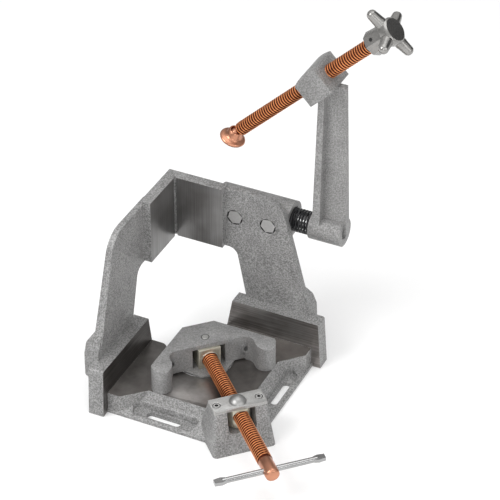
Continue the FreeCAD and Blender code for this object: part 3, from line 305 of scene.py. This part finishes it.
# Lighter paint for the jaw's rounded edges: a painted highlight.
jaw_painted_edge_highlight = hammertone("jaw painted edge highlight", (0.46, 0.457, 0.45), (0.68, 0.677, 0.67), 0.15, 0.4)
jaw = softened("moving_jaw", "jaw", 1.0 * MM, 3, 32, 1)
jaw.data.materials.append(jaw_paint)
jaw.data.materials.append(jaw_painted_edge_highlight)
across = Vector((math.sqrt(0.5), math.sqrt(0.5), 0))
to_handle = Vector((math.sqrt(0.5), -math.sqrt(0.5), 0))
SLOT_HALF = 17.5
SLOT_WIDENED = 2
SLOT_REAR = 89
SLOT_FRONT = 128
SLOT_BOTTOM = 26.6
for vertex in jaw.data.vertices:
    side = vertex.co.dot(across) / MM
    along = vertex.co.dot(to_handle) / MM
    if (abs(abs(side) - SLOT_HALF) < 0.1 and SLOT_REAR < along < SLOT_FRONT
            and vertex.co.z > SLOT_BOTTOM * MM):
        vertex.co += across * math.copysign(SLOT_WIDENED * MM, side)


# The nut's cover plate: a zinc plated strip with two flush screws, each in its countersink.
def plated(name, colour, roughness, metallic=1.0, mottle=0.12, scale=300, relief=0.08):
    """Plated steel with a faint cloudiness."""
    material, tree, shader, place = new_finish(name)
    clouds = noise(tree, place, scale, 4, 0.6)
    dull = [c * (1 - mottle * 2) for c in colour]
    tree.links.new(toned(tree, clouds, 0.3, dull, 0.7, colour), shader.inputs["Base Color"])
    dented(tree, clouds, relief, 0.1 * MM, shader)
    shader.inputs["Metallic"].default_value = metallic
    shader.inputs["Roughness"].default_value = roughness
    return material


zinc = plated("zinc plate", (0.48, 0.477, 0.466), 0.45, 0.5, 0.12, 900, 0.3)
# Brighter zinc for the strip's rounded edges: a painted highlight.
zinc_painted_edge_highlight = plated("zinc plate painted edge highlight", (0.72, 0.715, 0.7), 0.35, 0.6, 0.05)
strip = softened("nut_cover_plate", "cover_strip", 0.35 * MM, 2, 30, 1)
strip.data.materials.append(zinc)
strip.data.materials.append(zinc_painted_edge_highlight)
strip.data.materials.append(bore_shade)


def turned(work, profile, steps=48):
    """Closed solid turned round +Z from (height, radius) points in millimetres, from axis to axis."""
    verts = [work.verts.new((radius * MM, 0, height * MM)) for height, radius in profile]
    edges = [work.edges.new(pair) for pair in zip(verts, verts[1:])]
    bmesh.ops.spin(work, geom=verts + edges, cent=(0, 0, 0), axis=(0, 0, 1), dvec=(0, 0, 0),
                   angle=math.tau, steps=steps, use_merge=True)
    bmesh.ops.remove_doubles(work, verts=work.verts, dist=0.0001 * MM)
    bmesh.ops.recalc_face_normals(work, faces=work.faces)


def aimed(start, along):
    """Matrix that carries +Z onto a direction from a start point."""
    return Matrix.Translation(start) @ Vector((0, 0, 1)).rotation_difference(along).to_matrix().to_4x4()


def finished(work, name, matrix, body, materials, node=None, sharp=38):
    """Smooth piece in its place, on a body."""
    bmesh.ops.transform(work, matrix=matrix, verts=work.verts)
    mesh = bpy.data.meshes.new(name)
    work.to_mesh(mesh)
    work.free()
    for material in materials:
        mesh.materials.append(material)
    for face in mesh.polygons:
        face.use_smooth = True
    mesh.set_sharp_from_angle(angle=math.radians(sharp))
    piece = bpy.data.objects.new(name, mesh)
    bpy.context.scene.collection.objects.link(piece)
    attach(piece, body)
    if node:
        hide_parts(node)
    return piece


STRIP_TOP = 54.0
SCREW_ASIDE = 24.5
# Near-black: painted shade in the screw sockets and round the jaw pin, and the black knob pin's end.
black_and_painted_shade = plated("socket shade", (0.015, 0.015, 0.015), 0.7, 0.2)
nut_middle = to_handle * 214.7 * MM
screw_middles = [nut_middle + across * SCREW_ASIDE * MM * side for side in (-1, 1)]
SINK_SLOT = 2
# The sloping faces of the two countersinks take painted shade.
for face in strip.data.polygons:
    beside = [math.hypot(face.center.x - middle.x, face.center.y - middle.y) for middle in screw_middles]
    if min(beside) < 5 * MM and abs(face.normal.z) < 0.95:
        face.material_index = SINK_SLOT
SOCKET_RADIUS = 1.8
screws = bmesh.new()
for screw_middle in screw_middles:
    one = bmesh.new()
    turned(one, [(40.0, 0), (40.0, 2.5), (51.2, 2.5), (53.0, 3.75), (53.8, 3.75), (STRIP_TOP, 3.5),
                 (STRIP_TOP, 1.9), (52.6, 1.6), (52.6, 0)], 32)
    # Faces of the socket in each screw head take painted shade.
    for face in one.faces:
        middle = face.calc_center_median()
        if math.hypot(middle.x, middle.y) < SOCKET_RADIUS * MM and middle.z > 50 * MM:
            face.material_index = 1
    bmesh.ops.translate(one, verts=one.verts, vec=screw_middle)
    single = bpy.data.meshes.new("single screw")
    one.to_mesh(single)
    one.free()
    screws.from_mesh(single)
    bpy.data.meshes.remove(single)
finished(screws, "cover_screws", Matrix(), "base", [zinc, black_and_painted_shade], "plate_screws")


# The jaw's upright pivot pin: plain steel, pressed in from above, with a painted shadow line round its end.
pin_steel = plated("pin steel", (0.5, 0.497, 0.48), 0.4, 0.7, 0.1)
PIN_RADIUS = 4.0
PIN_FROM_CORNER = 103
pivot = bmesh.new()
turned(pivot, [(26.3, 0), (26.3, PIN_RADIUS), (60.02, PIN_RADIUS), (60.02, 4.75), (60.08, 4.75),
               (60.08, PIN_RADIUS), (60.4, 3.6), (60.4, 0)], 32)
# The thin collar round the pin's end takes painted shade, as a shadow line.
for face in pivot.faces:
    middle = face.calc_center_median()
    if math.hypot(middle.x, middle.y) > (PIN_RADIUS + 0.05) * MM:
        face.material_index = 1
finished(pivot, "jaw_pin", Matrix.Translation(to_handle * PIN_FROM_CORNER * MM), "jaw",
         [pin_steel, black_and_painted_shade], "jaw_pivot_pin")


# The rivet: plain steel, with a broad domed head. It ties the strip to the nut below.
rivet_steel = plated("rivet steel", (0.38, 0.378, 0.372), 0.42, 0.9, 0.05, 200)
DOME_TOP = 60.3
DOME_RADIUS = 10.9
DOME_ANGLE = math.radians(66)
DOME_STEPS = 12
rivet = bmesh.new()
dome = []
for i in range(DOME_STEPS):
    lift = DOME_ANGLE * (1 - i / DOME_STEPS)
    dome.append((DOME_TOP - DOME_RADIUS * (1 - math.cos(lift)), DOME_RADIUS * math.sin(lift)))
turned(rivet, [(49.4, 0), (49.4, 5.7), (53.9, 5.7), (53.9, 7.9)] + dome + [(DOME_TOP, 0)])
finished(rivet, "rivet", Matrix.Translation(nut_middle), "nut", [rivet_steel], "nut_rivet", 50)


# The swivel nut and the jaw's swivel block: turned and milled steel with yellow zinc. A bright ring
# in the block's mouth traps the screw.
yellow_zinc = plated("yellow zinc", (0.6, 0.57, 0.47), 0.4, 0.7, 0.12, 240)
# Brighter yellow zinc for the rounded edges of nut and block: a painted highlight.
yellow_painted_edge_highlight = plated("yellow zinc painted edge highlight", (0.8, 0.77, 0.66), 0.35, 0.7, 0.1)
ring_steel = plated("ring steel", (0.68, 0.66, 0.6), 0.28, 1.0, 0.05)
for node, name, width, material in (
    ("swivel_nut", "nut_body", 0.5, yellow_zinc),
    ("jaw_swivel_block", "swivel_block", 0.6, yellow_zinc),
    ("screw_retaining_ring", "mouth_ring", 0.4, ring_steel),
):
    piece = softened(node, name, width * MM, 2, 30, 1)
    piece.data.materials.append(material)
    piece.data.materials.append(yellow_painted_edge_highlight if material is yellow_zinc else ring_steel)


# Both screws: steel with a rolled trapezoidal thread of 3.5 mm pitch, copper plated against weld
# spatter. The crests carry a painted highlight, the flanks and hollows painted shade. The main screw
# ends in a plain head for the tee bar.
# Bright copper for the crests as a painted highlight, darker copies for flanks and roots as painted shade.
copper_crest_painted_highlight = plated("copper crest painted highlight", (0.86, 0.32, 0.12), 0.28, 0.85, 0.05, 120)
copper_flank_painted_shade = plated("copper flank painted shade", (0.4, 0.095, 0.025), 0.38, 0.85, 0.12, 120)
copper_root_painted_shade = plated("copper root painted shade", (0.14, 0.028, 0.008), 0.5, 0.6, 0.2, 120)
copper_smooth = plated("copper smooth", (0.64, 0.3, 0.19), 0.36, 1.0, 0.08, 60)


def threaded_rod(work, outer, depth, low, high, pitch=3.5 * MM, steps=30):
    """Right-hand thread round +Z between two heights, closed at both ends."""
    turns = math.ceil((high - low) / pitch) + 2
    crest, root = outer, outer - depth
    flank_share, root_share = 0.85, 0.5
    chain = [(root, 0.1), (root + depth * 0.1, 0.16), (crest - depth * 0.12, 0.36), (crest, 0.42),
             (crest, 0.64), (crest - depth * 0.12, 0.7), (root + depth * 0.1, 0.92), (root, 1.1)]
    verts = [work.verts.new((radius, 0, low + (height - 1.2) * pitch)) for radius, height in chain]
    edges = [work.edges.new(pair) for pair in zip(verts, verts[1:])]
    bmesh.ops.spin(work, geom=verts + edges, cent=(0, 0, 0), axis=(0, 0, 1), dvec=(0, 0, pitch / steps),
                   angle=math.tau * turns, steps=steps * turns)
    bmesh.ops.remove_doubles(work, verts=work.verts, dist=pitch * 0.01)
    for height, side in ((low, -1), (high, 1)):
        cut = bmesh.ops.bisect_plane(
            work, geom=work.verts[:] + work.edges[:] + work.faces[:],
            plane_co=(0, 0, height), plane_no=(0, 0, side), clear_outer=True, dist=1e-7)
        rim = [e for e in cut["geom_cut"] if isinstance(e, bmesh.types.BMEdge)]
        bmesh.ops.edgenet_fill(work, edges=rim)
    bmesh.ops.recalc_face_normals(work, faces=work.faces)
    # Faces near the root take the darkest painted shade, flanks a lighter one, and crests the painted
    # highlight.
    for face in work.faces:
        middle = face.calc_center_median()
        share = (math.hypot(middle.x, middle.y) - root) / depth
        if share <= root_share:
            face.material_index = 2
        elif share <= flank_share:
            face.material_index = 1


thread_copper_painted_light = [copper_crest_painted_highlight, copper_flank_painted_shade, copper_root_painted_shade]
screw_line = aimed(Vector((0, 0, 40 * MM)), to_handle)
main_rod = bmesh.new()
threaded_rod(main_rod, 8.6 * MM, 2.1 * MM, 112 * MM, 303 * MM)
finished(main_rod, "main_thread", screw_line, "screw", thread_copper_painted_light, "main_screw")
main_head = bmesh.new()
turned(main_head, [(302, 0), (302, 7.0), (304, 8.0), (325.5, 8.0), (327.6, 7.75), (329.0, 6.4),
                   (329.5, 4.5), (329.5, 0)])
finished(main_head, "main_screw_head", screw_line, "screw", [copper_smooth])
flange = bmesh.new()
turned(flange, [(109, 0), (109, 9.9), (112.5, 9.9), (112.5, 0)])
finished(flange, "main_screw_flange", screw_line, "screw", [copper_smooth])

SCREW_TILT = 43.9
BALL_FROM_CROSSING = 137
BALL_RADIUS = 5.5
tilt = math.radians(SCREW_TILT)
to_knob = Vector((math.cos(tilt), 0, math.sin(tilt)))
crossing = Vector((157 * MM, 36 * MM, 361.7 * MM))
arm_line = aimed(crossing, to_knob)
arm_rod = bmesh.new()
threaded_rod(arm_rod, 8 * MM, 1.9 * MM, -126 * MM, 100 * MM)
finished(arm_rod, "arm_thread", arm_line, "feed_screw", thread_copper_painted_light, "arm_screw")
tip_ball = bmesh.new()
ball = []
for turn in range(0, 141, 14):
    lift = math.radians(turn)
    ball.append((-BALL_FROM_CROSSING - BALL_RADIUS * math.cos(lift), BALL_RADIUS * math.sin(lift)))
turned(tip_ball, ball + [(-132.2, 3.0), (-126.6, 3.0), (-125.8, 6.3), (-125.8, 0)], 32)
finished(tip_ball, "arm_screw_ball", arm_line, "feed_screw", [copper_smooth])


# The pad: a copper plated mushroom that hangs loose on the ball, with a conical neck.
PAD_DROOP = 24
droop = math.radians(SCREW_TILT + PAD_DROOP)
pad_axis = Vector((math.cos(droop), 0, math.sin(droop)))
pad = bmesh.new()
turned(pad, [(-11, 0), (-11, 9.5), (-10.4, 12.2), (-9.2, 14.2), (-7.6, 14.95), (-6.4, 14.6), (-5.5, 13.4),
             (-4.8, 11.2), (-3.6, 9.5), (-1.0, 8.5), (3.9, 7.8), (4.5, 7.3), (4.5, 6.3), (2.0, 5.2),
             (0.6, 5.75), (-2.2, 5.3), (-4.4, 3.8), (-5.8, 0)])
ball_middle = crossing - to_knob * BALL_FROM_CROSSING * MM
finished(pad, "pad", aimed(ball_middle, pad_axis), "pad", [copper_smooth], "swivel_pad", 50)


# Plain steel parts: bolts, pins, washer, lock nut, tee bar and snap ring keep their CAD shapes. The
# tee bar is bright drawn steel, the bolts are plated, the two roll pins are black.
bright_steel = plated("bright steel", (0.42, 0.42, 0.42), 0.22, 1.0, 0.06, 90)
bolt_zinc = plated("bolt zinc", (0.5, 0.497, 0.49), 0.36, 0.8, 0.06)
black_steel = plated("black steel", (0.018, 0.018, 0.02), 0.38, 0.3)
for node, material in (
    ("bracket_bolts", bolt_zinc), ("tee_bar", bright_steel),
    ("pivot_pin", bright_steel), ("hub_roll_pin", black_steel), ("pin_lock_nut", zinc), ("end_washer", zinc),
    ("pad_snap_ring", bright_steel), ("knob_pin", black_steel),
):
    carried = frame["nodes"][node]
    carried.data.materials.clear()
    carried.data.materials.append(material)


# The arm's spring: oiled black wire, coiled between the barrel's pocket and the hub. It closes up by
# 8 mm when the arm is pushed in.
coil = frame["nodes"]["arm_spring"].data.copy()
coil.materials.clear()
coil.materials.append(black_steel)
spring = bpy.data.objects.new("push_spring", coil)
bpy.context.scene.collection.objects.link(spring)
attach(spring, "base")
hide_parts("arm_spring")
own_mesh(spring)


# The star knob: a polished steel casting with four prongs, pinned to the screw. Its flat end carries
# a painted dark reflection. Prongs and collar are a little thicker than the CAD node's.
knob_steel = plated("knob steel", (0.36, 0.352, 0.34), 0.25, 0.65, 0.12, 60)
# Slightly lighter, fully metallic steel for the knob's rounded edges: a painted highlight.
knob_painted_edge_highlight = plated("knob painted edge highlight", (0.38, 0.372, 0.36), 0.25, 1.0, 0.05)
knob_end_painted_reflection = hammertone("knob end painted dark reflection", (0.03, 0.029, 0.028), (0.065, 0.063, 0.06), 0.3, 0.5)
knob = softened("star_knob", "knob", 1.4 * MM, 3, 34, 1)
for material in (knob_steel, knob_painted_edge_highlight, knob_end_painted_reflection):
    knob.data.materials.append(material)
DARK_REFLECTION_SLOT = 2
KNOB_FACE = 121.0       # millimetres from the crossing, along the screw
PRONGS_DEPTH = 8.0      # of the prongs' middle, from the knob's face
PRONG_THICKENED = 0.13
PRONG_START = 12
COLLAR_THICKENED = 0.1
COLLAR_DEPTH = 16
COLLAR_END_DEPTH = 34
COLLAR_SHORTENED = 2.2
INSIDE_BOX = 0.1 * MM
PRONG_TURNS = (-12, 78, 168, 258)
PIN_TURN = 123
face_middle = crossing + to_knob * KNOB_FACE * MM
aside = Vector((0, 1, 0))
upright = to_knob.cross(aside)
back_of_box = cad_box[1][1] - INSIDE_BOX
top_of_box = cad_box[1][2] - INSIDE_BOX


def across_screw(turn):
    """Direction across the arm screw, in degrees from its underside."""
    return -upright * math.cos(math.radians(turn)) - aside * math.sin(math.radians(turn))


for vertex in knob.data.vertices:
    from_face = vertex.co - face_middle
    depth_in = -from_face.dot(to_knob)
    flat = from_face + to_knob * depth_in
    for turn in PRONG_TURNS:
        prong = across_screw(turn)
        reach = flat.dot(prong) / MM
        from_prong = flat - prong * reach * MM - to_knob * (depth_in - PRONGS_DEPTH * MM)
        if reach > PRONG_START and from_prong.length < 7.6 * MM and 0.5 * MM < depth_in < 15.5 * MM:
            vertex.co += from_prong * PRONG_THICKENED * min(1, (reach - PRONG_START) / 5)
            vertex.co.y = min(vertex.co.y, back_of_box)
            vertex.co.z = min(vertex.co.z, top_of_box)
    if depth_in > COLLAR_DEPTH * MM and flat.length > 6 * MM:
        vertex.co += flat * COLLAR_THICKENED
        if depth_in > COLLAR_END_DEPTH * MM:
            vertex.co += to_knob * COLLAR_SHORTENED * MM
# The flat end faces take near-black paint: a painted dark reflection.
for face in knob.data.polygons:
    if face.normal.dot(to_knob) > 0.97:
        face.material_index = DARK_REFLECTION_SLOT
pin_end = bmesh.new()
turned(pin_end, [(11.5, 0), (11.5, 2), (13.26, 2), (13.26, 0)], 20)
pin_line = aimed(crossing + to_knob * 95.6 * MM, across_screw(PIN_TURN))
finished(pin_end, "knob_pin_end", pin_line, "feed_screw", [black_and_painted_shade])


# Studio: a white sweep under the clamp, one large soft lamp in front and above, fills from the other
# sides. Floor and sky are lifted to white for the camera, and the clamp still throws its shadow.
def seen_by(tree, first, second):
    """One for the two kinds of ray that are named, and nought for all others."""
    path = tree.nodes.new("ShaderNodeLightPath")
    either = tree.nodes.new("ShaderNodeMath")
    either.operation = "MAXIMUM"
    tree.links.new(path.outputs[first], either.inputs[0])
    tree.links.new(path.outputs[second], either.inputs[1])
    return either.outputs[0]


floor = bpy.data.objects.new("floor", bpy.data.meshes.new("floor"))
sweep = bmesh.new()
bmesh.ops.create_grid(sweep, x_segments=1, y_segments=1, size=6)
bmesh.ops.translate(sweep, verts=sweep.verts, vec=(0, 0, -0.2 * MM))
sweep.to_mesh(floor.data)
sweep.free()
bpy.context.scene.collection.objects.link(floor)
white = bpy.data.materials.new("white sweep")
white.use_nodes = True
tree = white.node_tree
shader = tree.nodes["Principled BSDF"]
shader.inputs["Base Color"].default_value = (0.8, 0.8, 0.8, 1)
shader.inputs["Roughness"].default_value = 0.9
shader.inputs["Specular IOR Level"].default_value = 0.1
seen = seen_by(tree, "Is Camera Ray", "Is Glossy Ray")
glow = tree.nodes.new("ShaderNodeMath")
glow.operation = "MULTIPLY"
glow.inputs[1].default_value = 0.2
tree.links.new(seen, glow.inputs[0])
shader.inputs["Emission Color"].default_value = (1, 1, 1, 1)
tree.links.new(glow.outputs[0], shader.inputs["Emission Strength"])
floor.data.materials.append(white)

world = bpy.data.worlds.new("studio")
bpy.context.scene.world = world
world.use_nodes = True
tree = world.node_tree
sky = tree.nodes["Background"]
sky.inputs["Color"].default_value = (1, 1, 1, 1)
facing = tree.nodes.new("ShaderNodeTexCoord")
height = tree.nodes.new("ShaderNodeSeparateXYZ")
tree.links.new(facing.outputs["Generated"], height.inputs["Vector"])
band = tree.nodes.new("ShaderNodeValToRGB")
band.color_ramp.elements[0].position = 0.02
band.color_ramp.elements[0].color = (0.12, 0.12, 0.12, 1)
band.color_ramp.elements[1].position = 0.62
band.color_ramp.elements[1].color = (0.62, 0.62, 0.62, 1)
tree.links.new(height.outputs["Z"], band.inputs["Fac"])
seen = seen_by(tree, "Is Camera Ray", "Is Transmission Ray")
level = tree.nodes.new("ShaderNodeMix")
level.data_type = "FLOAT"
level.inputs["B"].default_value = 1.0
tree.links.new(seen, level.inputs["Factor"])
tree.links.new(band.outputs["Color"], level.inputs["A"])
tree.links.new(level.outputs["Result"], sky.inputs["Strength"])


def softbox(name, place, target, size, power):
    """Square area lamp aimed at a point."""
    lamp = bpy.data.objects.new(name, bpy.data.lights.new(name, "AREA"))
    lamp.data.shape = "SQUARE"
    lamp.data.size = size
    lamp.data.energy = power
    lamp.location = place
    lamp.rotation_euler = (Vector(target) - Vector(place)).to_track_quat("-Z", "Y").to_euler()
    bpy.context.scene.collection.objects.link(lamp)


middle = (0.08, -0.05, 0.15)
softbox("key", (-0.9, -1.6, 1.9), middle, 1.4, 36)
softbox("top", (0.2, 0.3, 2.2), middle, 1.6, 13)
softbox("side", (2.0, -0.6, 1.0), middle, 1.2, 9)
softbox("front", (1.1, -1.9, 0.9), middle, 1.2, 9)
